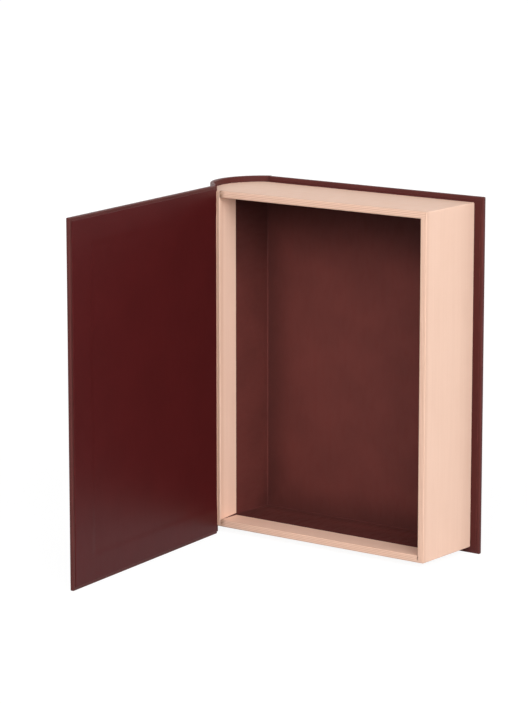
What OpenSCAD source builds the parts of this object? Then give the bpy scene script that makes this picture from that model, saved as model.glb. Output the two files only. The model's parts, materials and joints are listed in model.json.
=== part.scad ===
// A storage box in the shape of a book: a paper-lined card tray in a hinged case.
// The book stands on its tail. The tray opens towards -Y, the spine is at -X,
// the fore-edge at +X and the back cover at +Y. The sizes below are laid out from
// the corner of the tray, and the whole book is then moved so that its origin is
// in the middle of the back cover's tail edge.

/* [Tray] */
// Width of the tray, spine side to fore-edge
tray_w = 191; // [120:1:260]
// Height of the tray, tail to head
tray_h = 261; // [160:1:330]
// Depth of the tray, rim to back cover
tray_d = 62.5; // [35:0.5:90]
// Thickness of the card in the head, tail and fore-edge walls
wall_board_t = 4.8; // [2.5:0.1:7]
// Thickness of the card on the tray's spine side
side_board_t = 2; // [1.5:0.1:3.5]
// Thickness of the card at the bottom of the tray
floor_board_t = 2; // [1.5:0.1:3.5]

/* [Page paper and lining] */
// Thickness of the page-coloured paper on the outside and the rims of the tray
page_paper_t = 0.3; // [0.2:0.05:0.4]
// How far the page-coloured paper is turned in over the rims
page_turn_in = 21; // [12:1:30]
// Thickness of the dark paper that lines the tray
lining_t = 0.3; // [0.2:0.05:0.4]
// Slit left between the turned-in paper of the spine side and the tail
corner_slit = 0.5; // [0.2:0.1:1]

/* [Case] */
// Thickness of the card inside the covers and the spine
case_board_t = 2.4; // [1.6:0.1:3.5]
// Thickness of the paper that wraps the case
cover_paper_t = 0.3; // [0.2:0.05:0.4]
// How far the covers stand out beyond the tray at the head and the tail
end_square = 4.5; // [2:0.5:10]
// How far the covers stand out beyond the tray at the fore-edge
fore_square = 8; // [3:0.5:14]
// How far the cover paper is turned in at the head and the tail
turn_in = 20; // [12:1:30]
// How far the cover paper is turned in at the fore-edge
fore_turn_in = 25; // [12:1:35]
// Thickness of the paper pasted inside the covers
endpaper_t = 0.3; // [0.2:0.05:0.4]
// How far that paper stops short of the covers' edges
endpaper_reveal = 2.5; // [1:0.5:6]
// Width of the riser where that paper steps over the turned-in edges
endpaper_step = 0.4; // [0.3:0.1:1]

/* [Round spine and joints] */
// How far the round spine stands out beyond the tray's spine side
spine_bulge = 21; // [12:0.5:28]
// How far the spine's arc leans towards the back cover
spine_lean = 0.9; // [0:0.1:1.5]
// Distance of the covers' hinge edges from the tray's spine side
joint_w = 2.3; // [2:0.1:4]
// Groove between the spine's back end and the back cover
back_groove = 0.5; // [0.3:0.1:1]
// Thickness of the hinge cloth
cloth_t = 0.4; // [0.2:0.05:0.5]
// How far the spine's paper stops short of the hinge line
paper_to_hinge = 0.9; // [0.8:0.05:1]
// How far the spine's card stops short of the hinge line
board_to_hinge = 2.5; // [2:0.1:4]
// Gap between the closed front cover and the tray's rims
front_gap = 0.3; // [0.2:0.1:1]
// Gap between the round ends of the tray and the spine
spine_fit = 0.1; // [0.05:0.05:0.3]
// How far the front cover stands open
open_angle = 83.5; // [0:0.5:180]

/* [Hidden] */

// Colours
card_grey = [0.60, 0.57, 0.52];
page_peach = [0.92, 0.77, 0.68];
lining_red = [0.33, 0.18, 0.17];
cover_red = [0.30, 0.12, 0.12];
endpaper_red = [0.29, 0.10, 0.10];
cloth_red = [0.26, 0.11, 0.11];

// Overshoot that keeps cuts clear of the faces they pass
eps = 1;

// The tray's outside and inside planes
tail_z = end_square;
head_z = end_square + tray_h;
rim_t = page_paper_t + wall_board_t + lining_t;
side_t = side_board_t + lining_t;
floor_t = floor_board_t + lining_t;
fore_board_x = tray_w - page_paper_t;
fore_inner_x = tray_w - rim_t;
lining_tail_z = tail_z + page_paper_t + wall_board_t;
lining_head_z = head_z - page_paper_t - wall_board_t;
inner_tail_z = tail_z + rim_t;
inner_head_z = head_z - rim_t;
floor_y = tray_d - floor_t;

// The covers and where they lie when the book is shut
case_h = tray_h + 2*end_square;
cover_t = case_board_t + 2*cover_paper_t;
cover_w = tray_w + fore_square - joint_w;
back_inner_y = tray_d + endpaper_t;
front_inner_y = -(front_gap + endpaper_t);
hinge_y = front_inner_y - cover_paper_t - case_board_t;

// The spine's arc runs through the hinge line and stands out by spine_bulge
spine_cy = (back_inner_y + front_inner_y)/2 + spine_lean;
spine_half = spine_cy - hinge_y;
spine_r = (spine_half*spine_half + spine_bulge*spine_bulge)/(2*spine_bulge);
spine_cx = spine_r - spine_bulge;
spine_in_r = spine_r - cover_t;
hinge_deg = acos(spine_cx/spine_r);
paper_front_deg = hinge_deg - arc_deg(paper_to_hinge);
board_front_deg = hinge_deg - arc_deg(board_to_hinge);
back_deg = acos((spine_cx - joint_w + back_groove)/spine_in_r);

function arc_deg(length) = length/spine_r*180/PI;

// A point on the spine's arc: the angle is measured from -X towards the back cover
function spine_point(r, deg) = [spine_cx - r*cos(deg), spine_cy + r*sin(deg)];

// Moves the book from the tray's corner to the part's own origin
module in_frame() {
    translate([-(joint_w + cover_w/2), -(back_inner_y + cover_t/2), 0])
        children();
}

// A box given by its low and high corners
module block(low, high) {
    translate(low)
        cube(high - low);
}

// The outline of the head and tail panels, round at the spine
module panel_outline(front_y, fore_x) {
    translate([0, front_y])
        square([fore_x, tray_d - front_y]);
    intersection() {
        translate([spine_cx, spine_cy])
            circle(r = spine_in_r - spine_fit, $fn = 180);
        translate([-spine_bulge, page_paper_t])
            square([spine_bulge + eps, tray_d - page_paper_t]);
    }
}

module end_wall(low_z) {
    color(card_grey)
        translate([0, 0, low_z])
            linear_extrude(wall_board_t)
                panel_outline(page_paper_t, fore_board_x);
}

module head_wall() in_frame() end_wall(lining_head_z);

module tail_wall() in_frame() end_wall(tail_z + page_paper_t);

module fore_edge_wall() in_frame() color(card_grey)
    block([fore_board_x - wall_board_t, page_paper_t, lining_tail_z],
          [fore_board_x, tray_d, lining_head_z]);

module spine_side_wall() in_frame() color(card_grey)
    block([0, page_paper_t, lining_tail_z], [side_board_t, tray_d, lining_head_z]);

module tray_floor() in_frame() color(card_grey)
    block([side_board_t, tray_d - floor_board_t, lining_tail_z],
          [fore_board_x - wall_board_t, tray_d, lining_head_z]);

// Page-coloured paper on the head: outer sheet, rim and the part turned in
module head_page_paper() in_frame() color(page_peach) {
    translate([0, 0, head_z - page_paper_t])
        linear_extrude(page_paper_t)
            panel_outline(page_paper_t, fore_board_x);
    block([side_t, 0, inner_head_z], [tray_w, page_paper_t, head_z]);
    block([side_board_t, 0, lining_head_z - page_paper_t],
          [fore_board_x - wall_board_t, page_turn_in, lining_head_z]);
}

// The same on the tail, where the rim paper ends under that of the fore-edge
module tail_page_paper() in_frame() color(page_peach) {
    translate([0, 0, tail_z])
        linear_extrude(page_paper_t)
            panel_outline(page_paper_t, fore_board_x);
    block([side_t, 0, tail_z], [fore_inner_x, page_paper_t, inner_tail_z]);
    block([side_board_t, 0, lining_tail_z],
          [fore_board_x - wall_board_t, page_turn_in, lining_tail_z + page_paper_t]);
}

module fore_edge_page_paper() in_frame() color(page_peach) {
    block([fore_board_x, page_paper_t, tail_z], [tray_w, tray_d, head_z]);
    block([fore_inner_x, 0, tail_z], [tray_w, page_paper_t, inner_head_z]);
    block([fore_board_x - wall_board_t - page_paper_t, 0, inner_tail_z],
          [fore_board_x - wall_board_t, page_turn_in, inner_head_z]);
}

module spine_side_page_paper() in_frame() color(page_peach) {
    block([0, 0, tail_z], [side_t, page_paper_t, head_z]);
    block([side_board_t, 0, inner_tail_z + corner_slit],
          [side_board_t + page_paper_t, page_turn_in, inner_head_z]);
}

// The dark lining begins where the turned-in page paper ends
module end_lining(low_z) {
    color(lining_red)
        block([side_board_t, page_turn_in, low_z],
              [fore_board_x - wall_board_t, tray_d - floor_board_t, low_z + lining_t]);
}

module side_lining(low_x) {
    color(lining_red)
        block([low_x, page_turn_in, inner_tail_z],
              [low_x + lining_t, tray_d - floor_board_t, inner_head_z]);
}

module head_lining() in_frame() end_lining(inner_head_z);

module tail_lining() in_frame() end_lining(lining_tail_z);

module fore_edge_lining() in_frame() side_lining(fore_inner_x);

module spine_side_lining() in_frame() side_lining(side_board_t);

module floor_lining() in_frame() color(lining_red)
    block([side_t, floor_y, inner_tail_z],
          [fore_inner_x, tray_d - floor_board_t, inner_head_z]);

// A cover is laid out flat: X from its hinge edge, Y from its inside to its outside
module cover_board() {
    color(card_grey)
        block([0, cover_paper_t, cover_paper_t],
              [cover_w - cover_paper_t, cover_paper_t + case_board_t, case_h - cover_paper_t]);
}

module cover_paper() {
    color(cover_red)
        difference() {
            cube([cover_w, cover_t, case_h]);
            block([-eps, cover_paper_t, cover_paper_t],
                  [cover_w - cover_paper_t, cover_t - cover_paper_t, case_h - cover_paper_t]);
            block([-eps, -eps, turn_in],
                  [cover_w - fore_turn_in, cover_paper_t + eps/2, case_h - turn_in]);
        }
}

// Lies on the turned-in edges and steps down to the card between them
module cover_endpaper() {
    color(endpaper_red)
        difference() {
            union() {
                block([0, -endpaper_t, endpaper_reveal],
                      [cover_w - endpaper_reveal, 0, case_h - endpaper_reveal]);
                block([0, -endpaper_t, turn_in],
                      [cover_w - fore_turn_in, cover_paper_t, case_h - turn_in]);
            }
            block([-eps, -endpaper_t - eps, turn_in + endpaper_step],
                  [cover_w - fore_turn_in - endpaper_step, cover_paper_t - endpaper_t,
                   case_h - turn_in - endpaper_step]);
        }
}

module at_back_cover() {
    translate([joint_w, back_inner_y, 0])
        children();
}

// The front cover is laid shut on the tray and then swung open about the hinge line
module at_front_cover() {
    translate([0, hinge_y, 0])
        rotate(-open_angle)
            translate([0, -hinge_y, 0])
                children();
}

module shut_front_cover() {
    translate([joint_w, front_inner_y, 0])
        mirror([0, 1, 0])
            children();
}

module back_board() in_frame() at_back_cover() cover_board();

module back_cover_paper() in_frame() at_back_cover() cover_paper();

module back_endpaper() in_frame() at_back_cover() cover_endpaper();

module front_board() in_frame() at_front_cover() shut_front_cover() cover_board();

module front_cover_paper() in_frame() at_front_cover() shut_front_cover() cover_paper();

// The front paper also runs down the cover's hinge edge to the cloth
module front_endpaper() in_frame() at_front_cover() {
    shut_front_cover() cover_endpaper();
    color(endpaper_red)
        block([joint_w - endpaper_t, hinge_y + cloth_t/2, endpaper_reveal],
              [joint_w, front_inner_y + endpaper_t, case_h - endpaper_reveal]);
}

// Cloth across the joint, folded round the hinge line
module front_hinge_cloth() in_frame() at_front_cover() color(cloth_red) {
    translate([0, hinge_y, 0])
        cylinder(h = case_h, d = cloth_t, $fn = 48);
    block([0, hinge_y - cloth_t/2, 0], [joint_w, hinge_y + cloth_t/2, case_h]);
}

// Cloth pressed into the groove between the spine and the back cover
module back_hinge_cloth() in_frame() color(cloth_red)
    linear_extrude(case_h)
        polygon([
            spine_point(spine_in_r, back_deg),
            spine_point(spine_in_r + cover_t/2, back_deg),
            [joint_w, back_inner_y + cover_t],
            [joint_w, back_inner_y + cover_paper_t],
            [joint_w - back_groove, back_inner_y + cover_paper_t]
        ]);

// A length of the round spine: a ring cut by a wedge from its centre
module spine_shell(in_r, out_r, front_deg, low_z, high_z) {
    reach = 2*spine_r;
    translate([spine_cx, spine_cy, low_z])
        intersection() {
            difference() {
                cylinder(h = high_z - low_z, r = out_r, $fn = 180);
                translate([0, 0, -eps])
                    cylinder(h = high_z - low_z + 2*eps, r = in_r, $fn = 180);
            }
            linear_extrude(high_z - low_z)
                polygon([
                    [0, 0],
                    [-reach*cos(front_deg), -reach*sin(front_deg)],
                    [-reach, 0],
                    [-reach*cos(back_deg), reach*sin(back_deg)]
                ]);
        }
}

module spine_board() in_frame() color(card_grey)
    spine_shell(spine_in_r + cover_paper_t, spine_r - cover_paper_t, board_front_deg,
                cover_paper_t, case_h - cover_paper_t);

// Outer sheet, with its ends folded over the card and turned in at head and tail
module spine_cover_paper() in_frame() color(cover_red) {
    spine_shell(spine_r - cover_paper_t, spine_r, paper_front_deg, 0, case_h);
    for (low_z = [0, case_h - cover_paper_t])
        spine_shell(spine_in_r, spine_r - cover_paper_t/2, board_front_deg,
                    low_z, low_z + cover_paper_t);
    for (low_z = [0, case_h - turn_in])
        spine_shell(spine_in_r, spine_in_r + cover_paper_t, board_front_deg,
                    low_z, low_z + turn_in);
}

module spine_lining() in_frame() color(lining_red)
    spine_shell(spine_in_r, spine_in_r + cover_paper_t, board_front_deg,
                turn_in, case_h - turn_in);

head_wall();
tail_wall();
fore_edge_wall();
spine_side_wall();
tray_floor();
head_page_paper();
tail_page_paper();
fore_edge_page_paper();
spine_side_page_paper();
head_lining();
tail_lining();
fore_edge_lining();
spine_side_lining();
floor_lining();
back_board();
back_cover_paper();
back_endpaper();
spine_board();
spine_cover_paper();
spine_lining();
back_hinge_cloth();
front_board();
front_cover_paper();
front_endpaper();
front_hinge_cloth();
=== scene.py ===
"""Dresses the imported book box: folded papers, linings, cloth joints, stage and camera."""

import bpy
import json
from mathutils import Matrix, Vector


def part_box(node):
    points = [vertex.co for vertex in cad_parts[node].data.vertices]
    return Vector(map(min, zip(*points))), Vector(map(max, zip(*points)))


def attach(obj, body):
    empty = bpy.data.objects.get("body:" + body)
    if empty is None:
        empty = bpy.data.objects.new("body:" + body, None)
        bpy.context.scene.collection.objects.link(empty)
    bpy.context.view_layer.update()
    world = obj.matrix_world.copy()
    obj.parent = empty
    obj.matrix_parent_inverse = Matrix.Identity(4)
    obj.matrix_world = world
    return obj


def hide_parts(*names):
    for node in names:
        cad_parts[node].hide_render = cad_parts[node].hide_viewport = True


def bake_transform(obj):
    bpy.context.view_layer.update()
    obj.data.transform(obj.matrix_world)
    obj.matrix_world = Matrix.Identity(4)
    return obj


bl_info = {
    "name": "Book box",
    "version": (1, 0, 0),
    "blender": (4, 5, 0),
    "location": "3D View > Sidebar > Book box",
    "description": "Makes the papers, joints and stage of a storage box shaped like a book",
    "category": "Object",
}

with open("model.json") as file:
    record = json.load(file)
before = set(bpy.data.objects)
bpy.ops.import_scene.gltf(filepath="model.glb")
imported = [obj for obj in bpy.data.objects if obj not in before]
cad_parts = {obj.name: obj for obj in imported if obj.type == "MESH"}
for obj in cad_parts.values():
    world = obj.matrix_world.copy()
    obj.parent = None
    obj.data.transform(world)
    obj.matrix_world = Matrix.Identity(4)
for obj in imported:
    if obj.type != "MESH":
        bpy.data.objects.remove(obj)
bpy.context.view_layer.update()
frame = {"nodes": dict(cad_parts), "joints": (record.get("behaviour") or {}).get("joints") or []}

import json
import math

import bmesh
import bpy
from bpy.props import FloatProperty, FloatVectorProperty, IntProperty, PointerProperty
from mathutils import Matrix, Vector

MM = 0.001
TINY = 0.01 * MM

# Angles between faces: shaded as an edge, in degrees; any bend and a square one, in radians
SHARP_DEG = 35
ANY_BEND = 0.01
SQUARE_BEND = 1

# Faces across the smallest bends
FEW_STEPS = 3

# Names of the faces' mark for a fold, the points' mark for wear and painted highlight, and the papers'
# UV map
FOLD = "fold"
WEAR = "wear"
UV = "paper"


def low_of(node):
    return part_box(node)[0]


def high_of(node):
    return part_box(node)[1]


# Planes of the tray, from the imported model
TRAY_X = low_of("spine_side_wall").x
INNER_X = high_of("spine_side_page_paper").x
FORE_INNER_X = low_of("fore_edge_page_paper").x
FORE_X = high_of("fore_edge_page_paper").x
RIM_Y = low_of("head_page_paper").y
TURN_Y = low_of("head_lining").y
FLOOR_Y = low_of("floor_lining").y
BACK_Y = high_of("fore_edge_page_paper").y
TAIL_Z = low_of("tail_page_paper").z
INNER_TAIL_Z = high_of("tail_page_paper").z
INNER_HEAD_Z = low_of("head_page_paper").z
HEAD_Z = high_of("head_page_paper").z
PAGE_PAPER_T = low_of("head_wall").y - RIM_Y
RIM_W = FORE_X - FORE_INNER_X
SIDE_RIM_W = INNER_X - TRAY_X

# Sizes of the case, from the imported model
COVER_X = low_of("back_cover_paper").x
COVER_W = high_of("back_cover_paper").x - COVER_X
COVER_Y = low_of("back_cover_paper").y
COVER_T = high_of("back_cover_paper").y - COVER_Y
CASE_H = high_of("back_cover_paper").z
COVER_PAPER_T = low_of("back_board").y - COVER_Y
ENDPAPER_T = COVER_Y - low_of("back_endpaper").y
ENDPAPER_REVEAL = low_of("back_endpaper").z
TURN_IN = low_of("spine_lining").z
SPINE_X = low_of("spine_cover_paper").x
HINGE = Vector(frame["joints"][0]["pos_m"])
OPEN_ANGLE = -math.radians(frame["joints"][0]["range_deg"][0])
JOINT_W = COVER_X - HINGE.x

# Shares of other sizes: of the spine-side rim, before its turn-in starts; of the lining's bend,
# as far as the floor's edge; of the endpaper's ramp and the front joint's thickness, as the radii
# at which they bend; and of a sheet, as the depth of the strip of lining behind the slit
RIM_SHARE = 0.8
FLOOR_EDGE_SHARE = 0.8
RAMP_BEND_SHARE = 0.45
JOINT_BEND_SHARE = 1.6
STRIP_DEPTH_SHARE = 1.3

# Widths over which marks fade: page lines beside their folds, a darker brown along and round the rims,
# and painted shade off the side and tail walls, in the corners, under the head wall and on the tail wall
LINES_OUTSIDE = (1.2 * MM, 5 * MM)
LINES_TURNED_IN = (-8 * MM, -5.6 * MM)
DARK_ALONG_END = 6 * MM
DARK_ALONG_TAIL = 90 * MM
DARK_UP_TAIL = 1.3 * MM
DARK_ROUND_RIM = (1 * MM, 3 * MM)
SHADE_OFF_WALL = (0.4 * MM, 1.5 * MM)
SHADE_IN_CORNER = 28 * MM
SHADE_UNDER_HEAD = 60 * MM
SHADE_ON_TAIL = 26 * MM

# How much further off the floor counts on a side wall, so that the painted shade stays in its corners
SIDE_WALL_SHIFT = 50 * MM

# Strength of each mark on the page paper
PAGE_MARKS = {"Line": 0.9, "Streak": 0.07, "Band": 0.06}
PAGE_CLOUD = 0.06
PAGE_WEAR = 0.12
PAGE_DARKENING = 0.85

# Strength and shade of each mark on the dyed papers
SPECKLE = 0.35
SPECKLE_SHADE = 1.35
# Lightening by the wear mask: wear on folds, painted highlight on the endpaper's edges and the lining's
# bends
FOLD_WEAR = 0.5
WEAR_ROUGHNESS = 0.12
# Tone of the painted shade in the tray
TRAY_SHADE_TONE = 0.35

# The floor: half its side, its tone in the light, and what the camera sees, a glow and a shade.
# The glow rises to white between two distances from the box
FLOOR_REACH = 14
FLOOR_TONE = 0.7
FLOOR_GLOW = 0.93
FLOOR_SHADE = 0.12
GLOW_RISE = (0.4, 1.2)

# Softboxes: distance, width, and the turn from -Y towards +X and rise of each, in degrees
LAMP_DISTANCE = 4
SOFTBOX_W = 3.4
SOFTBOXES = {"front": (10, 37), "side": (62, 26), "back": (165, 12), "left": (275, 12)}


def length(name, description, mm, **limits):
    """A size that the user may change; it and its limits are given in millimetres."""
    limits = {limit: value * MM for limit, value in limits.items()}
    return FloatProperty(
        name=name, description=description, default=mm * MM, unit="LENGTH", **limits)


def tint(name, description, *rgb):
    """A colour that the user may change."""
    return FloatVectorProperty(
        name=name, description=description, subtype="COLOR", size=3, default=rgb, min=0, max=1)


def watts(name, description, power):
    """A lamp's power that the user may change."""
    return FloatProperty(name=name, description=description, default=power, unit="POWER")


class BookBoxSizes(bpy.types.PropertyGroup):
    """Sizes that the boxes of the nodes don't give"""
    place = "book_box_sizes"

    page_fold: length("Page fold", "Radius of the folds of the page paper", 0.9, min=0.5, max=1.2)
    cover_fold: length(
        "Cover fold", "Radius of the folds of the cover paper", 0.75, min=0.5, max=1.0)
    fold_steps: IntProperty(
        name="Fold steps", description="Number of faces across a fold", default=5, min=2, max=8)
    seam: length("Seam", "Gap where two papers butt", 0.08)
    rim_seam: length("Rim seam", "Gap at the spine-side ends of the head and tail rims", 0.35)
    hinge_lap: length(
        "Hinge lap", "How far the spine-side rim turns down beside the joint", 1.0)
    end_fold: length("End fold", "Radius of the fold round the panels' round ends", 0.4)
    page_sheet: length("Page sheet", "Thickness of the page paper and the lining", 0.2)
    cover_sheet: length("Cover sheet", "Thickness of the cover paper and the endpapers", 0.25)
    tail_lap: length("Tail lap", "Height of the fore-edge rim's end above the tail", 1.3)
    slit: length("Slit", "Widest opening of the slit in the tray's lower corner", 1.5)
    slit_start: length("Slit start", "Distance from the rim at which the slit opens", 1.5)
    lining_lap: length(
        "Lining lap", "How far the lining runs over the turned-in page paper", 1.0)
    lining_rise: length(
        "Lining rise", "How far the lining stands proud of the page paper", 0.15)
    lining_bend: length(
        "Lining bend", "Radius at which the lining bends in the tray's corners", 0.8)
    fore_turn_in: length(
        "Fore-edge turn-in", "Width of the cover paper turned in at the fore-edge", 25)
    endpaper_ramp: length(
        "Endpaper ramp", "Width over which the endpaper sinks past a turned-in edge", 3.2)
    endpaper_sink: length(
        "Endpaper sink", "How deep the endpaper sinks past a turned-in edge", 0.2)
    # The strip along the endpaper's edges is lightened as a painted highlight
    highlight_edge: length(
        "Highlight edge", "Width of the rubbed strip along the endpaper's fore-edge", 0.9)
    spine_lean: length(
        "Spine lean", "How far the spine's arc leans towards the back cover", 0.9)
    spine_fit: length("Spine fit", "Gap between the tray's round ends and the spine", 0.1)
    spine_steps: IntProperty(
        name="Spine steps", description="Number of faces round the spine", default=72, min=24, max=144)
    back_groove: length("Back groove", "Groove between the spine and the back cover", 0.5)
    board_to_hinge: length(
        "Board to hinge", "Distance of the spine's card from the hinge line", 2.5)
    groove_depth: length("Groove depth", "Depth of the groove beside the back cover", 0.4)
    crease_depth: length("Crease depth", "Depth of the crease inside the back joint", 0.8)
    joint_reach: length(
        "Joint reach", "How far the joint covers the end of the spine's card", 1.6)
    joint_t: length("Joint thickness", "Thickness of the cloth and paper across the joint", 0.5)


class BookBoxColours(bpy.types.PropertyGroup):
    """Colours of the papers and card"""
    place = "book_box_colours"

    cover: tint("Cover paper", "Paper round the case", 0.086, 0.0218, 0.0195)
    endpaper: tint("Endpaper", "Paper inside the front cover", 0.072, 0.0082, 0.0086)
    back_endpaper: tint("Back endpaper", "Paper behind the tray", 0.0705, 0.0154, 0.0143)
    lining: tint("Lining", "Paper inside the tray", 0.122, 0.0275, 0.0225)
    page: tint("Page paper", "Paper round the tray", 0.873, 0.597, 0.468)
    page_line: tint("Page lines", "Fine lines on the paper round the tray", 0.65, 0.39, 0.275)
    card: tint("Card", "Card inside the walls and covers", 0.32, 0.28, 0.23)
    # A darker brown laid on the rims' ends by the spine side and along the tail fold
    rim_darkening: tint("Soil", "Dirt on the rims, where they have been handled", 0.27, 0.13, 0.075)


class BookBoxStage(bpy.types.PropertyGroup):
    """Camera and light"""
    place = "book_box_stage"

    camera_place: FloatVectorProperty(
        name="Camera place", description="Where the camera stands", subtype="TRANSLATION", size=3,
        default=(1.32225, -1.8877, 0.5811), unit="LENGTH")
    camera_azimuth: FloatProperty(
        name="Azimuth", description="Camera's turn round the box", default=math.radians(37.09),
        subtype="ANGLE")
    camera_elevation: FloatProperty(
        name="Elevation", description="Camera's height above the horizon",
        default=math.radians(10.77), subtype="ANGLE")
    lens: FloatProperty(
        name="Lens", description="Focal length", default=157.66, min=20, max=300, unit="CAMERA")
    world_level: FloatProperty(
        name="World level", description="Strength of the surrounding light", default=0.12)
    front_light: watts("Front light", "Power of the softbox in front", 90)
    side_light: watts("Side light", "Power of the softbox at the right", 123)
    back_light: watts("Back light", "Power of the softbox behind", 60)
    left_light: watts("Left light", "Power of the softbox at the left", 60)


GROUPS = (BookBoxSizes, BookBoxColours, BookBoxStage)


# Shaping

def cut(bm, point, normal, faces=None):
    """Splits all faces, or some, along a plane."""
    faces = faces or bm.faces[:]
    edges = dict.fromkeys(e for f in faces for e in f.edges)
    verts = dict.fromkeys(v for e in edges for v in e.verts)
    bmesh.ops.bisect_plane(
        bm, geom=[*verts, *edges, *faces], dist=TINY / 100, plane_co=point, plane_no=normal)


def cut_x(bm, *places):
    """Splits all faces across X, at each place in turn."""
    for x in places:
        cut(bm, (x, 0, 0), (1, 0, 0))


def cut_z(bm, *places):
    """Splits all faces across Z, at each place in turn."""
    for z in places:
        cut(bm, (0, 0, z), (0, 0, 1))


def drop(bm, unwanted):
    """Deletes the faces whose middle passes the test."""
    gone = [f for f in bm.faces if unwanted(f.calc_center_median())]
    bmesh.ops.delete(bm, geom=gone, context="FACES")


def box_of(bm, low, high):
    """Adds a box between two corners."""
    middle = Matrix.Translation((low + high) / 2)
    bmesh.ops.create_cube(bm, size=1, matrix=middle @ Matrix.Diagonal((*(high - low), 1)))


def add_sheet(bm, middle, axis, width, height):
    """Adds a flat rectangle, turned up about an axis: about X it faces -Y, and about Y it faces +X."""
    turned = Matrix.Translation(middle) @ Matrix.Rotation(math.pi / 2, 4, axis)
    stretch = Matrix.Diagonal((width, height, 1, 1))
    bmesh.ops.create_grid(bm, x_segments=1, y_segments=1, size=0.5, matrix=turned @ stretch)


def verts_of(made):
    """The points among the things that an operator made."""
    return [g for g in made["geom"] if isinstance(g, bmesh.types.BMVert)]


def pull(bm, edges, vector):
    """Extrudes edges along a vector."""
    verts = verts_of(bmesh.ops.extrude_edge_only(bm, edges=edges))
    bmesh.ops.translate(bm, verts=verts, vec=vector)


def push(bm, faces, vector):
    """Extrudes faces together along a vector."""
    verts = verts_of(bmesh.ops.extrude_face_region(bm, geom=faces))
    bmesh.ops.translate(bm, verts=verts, vec=vector)


def near(a, b):
    return abs(a - b) < TINY


def edges_where(bm, wanted):
    """The edges whose both ends pass the test."""
    return [e for e in bm.edges if all(wanted(v.co) for v in e.verts)]


def upright_edges(bm, point):
    """The edges from tail to head through a point."""
    return edges_where(bm, lambda p: near(p.x, point.x) and near(p.y, point.y))


def bent(edges, angle=ANY_BEND):
    """Those of the edges at which two faces meet in a bend."""
    return [e for e in edges if e.is_manifold and e.calc_face_angle(0) > angle]


def fold_edges(bm, edges, radius, steps, rubs=True):
    """Rounds the edges over which paper is folded, and marks the faces where it rubs."""
    fold = bm.faces.layers.int.get(FOLD) or bm.faces.layers.int.new(FOLD)
    made = bmesh.ops.bevel(
        bm, geom=edges, offset=radius, offset_type="OFFSET", segments=steps, profile=0.5,
        affect="EDGES", material=-1, clamp_overlap=True)
    for face in made["faces"]:
        face[fold] = int(rubs)


def unfold(bm, along, across):
    """Writes the paper's own coordinates, in metres, into a UV map."""
    uv_map = bm.loops.layers.uv.new(UV)
    for face in bm.faces:
        middle = face.calc_center_median()
        for loop in face.loops:
            loop[uv_map].uv = (along(loop.vert.co), across(loop.vert.co, middle))


def face_outwards(bm, direction):
    """Turns the normals outwards: a sheet's by its largest face, which looks in a direction."""
    bmesh.ops.recalc_face_normals(bm, faces=bm.faces[:])
    if direction is None:
        return
    largest = max(bm.faces, key=lambda f: f.calc_area())
    if largest.normal.dot(Vector(direction)) < 0:
        bmesh.ops.reverse_faces(bm, faces=bm.faces[:])


def write_wear(bm):
    """Marks the points within marked faces: folds, where paper rubs, and the endpaper's edge strips,
    which take a painted highlight.
    """
    fold = bm.faces.layers.int.get(FOLD)
    wear = bm.verts.layers.float.new(WEAR)
    for vert in bm.verts:
        vert[wear] = float(all(f[fold] for f in vert.link_faces)) if fold else 0.0


def new_object(name, data):
    """Adds an object to the scene."""
    thing = bpy.data.objects.new(name, data)
    bpy.context.scene.collection.objects.link(thing)
    return thing


def object_of(bm, name):
    """Turns a shape into an object."""
    mesh = bpy.data.meshes.new(name)
    bm.to_mesh(mesh)
    bm.free()
    return new_object(name, mesh)


def piece_of(bm, name, material, direction, sheet_t=None, body=None, nodes=()):
    """Turns a shape into a piece: a sheet gets its thickness behind the faces that show."""
    face_outwards(bm, direction)
    write_wear(bm)
    for face in bm.faces:
        face.smooth = True
    piece = object_of(bm, name)
    piece.data.set_sharp_from_angle(angle=math.radians(SHARP_DEG))
    piece.data.materials.append(material)
    if sheet_t:
        sheet = piece.modifiers.new("Sheet thickness", "SOLIDIFY")
        sheet.thickness = sheet_t
        sheet.offset = -1
        sheet.use_even_offset = True
    normals = piece.modifiers.new("Flat faces", "WEIGHTED_NORMAL")
    normals.keep_sharp = True
    if body:
        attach(piece, body)
    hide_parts(*nodes)
    return piece


# Page paper round the tray

def tray_skin(sizes):
    """The tray's outside, rims and turned-in faces as one folded skin without thickness."""
    bm = bmesh.new()
    box_of(bm, Vector((TRAY_X, RIM_Y, TAIL_Z)), Vector((FORE_X, BACK_Y, HEAD_Z)))
    drop(bm, lambda c: near(c.y, BACK_Y) or near(c.x, TRAY_X))
    cut_x(bm, INNER_X, FORE_INNER_X)
    cut_z(bm, INNER_TAIL_Z, INNER_HEAD_Z)

    def in_opening(c):
        return near(c.y, RIM_Y) and INNER_X < c.x < FORE_INNER_X and INNER_TAIL_Z < c.z < INNER_HEAD_Z

    opening = [f for f in bm.faces if in_opening(f.calc_center_median())]
    push(bm, opening, (0, TURN_Y - RIM_Y, 0))
    drop(bm, lambda c: near(c.y, TURN_Y) and INNER_X < c.x < FORE_INNER_X)
    drop(bm, in_opening)

    def on_outer_fold(p):
        return near(p.y, RIM_Y) and (near(p.x, FORE_X) or near(p.z, HEAD_Z) or near(p.z, TAIL_Z))

    def on_fore_corner(p):
        return near(p.x, FORE_X) and (near(p.z, HEAD_Z) or near(p.z, TAIL_Z))

    def on_inner_fold(p):
        in_x = INNER_X - TINY < p.x < FORE_INNER_X + TINY
        in_z = INNER_TAIL_Z - TINY < p.z < INNER_HEAD_Z + TINY
        at_side = near(p.x, INNER_X) or near(p.x, FORE_INNER_X)
        at_end = near(p.z, INNER_TAIL_Z) or near(p.z, INNER_HEAD_Z)
        return near(p.y, RIM_Y) and in_x and in_z and (at_side or at_end)

    tests = (on_outer_fold, on_fore_corner, on_inner_fold)
    folds = dict.fromkeys(e for test in tests for e in edges_where(bm, test))
    fold_edges(bm, bent(folds), sizes.page_fold, sizes.fold_steps)
    return bm


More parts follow.
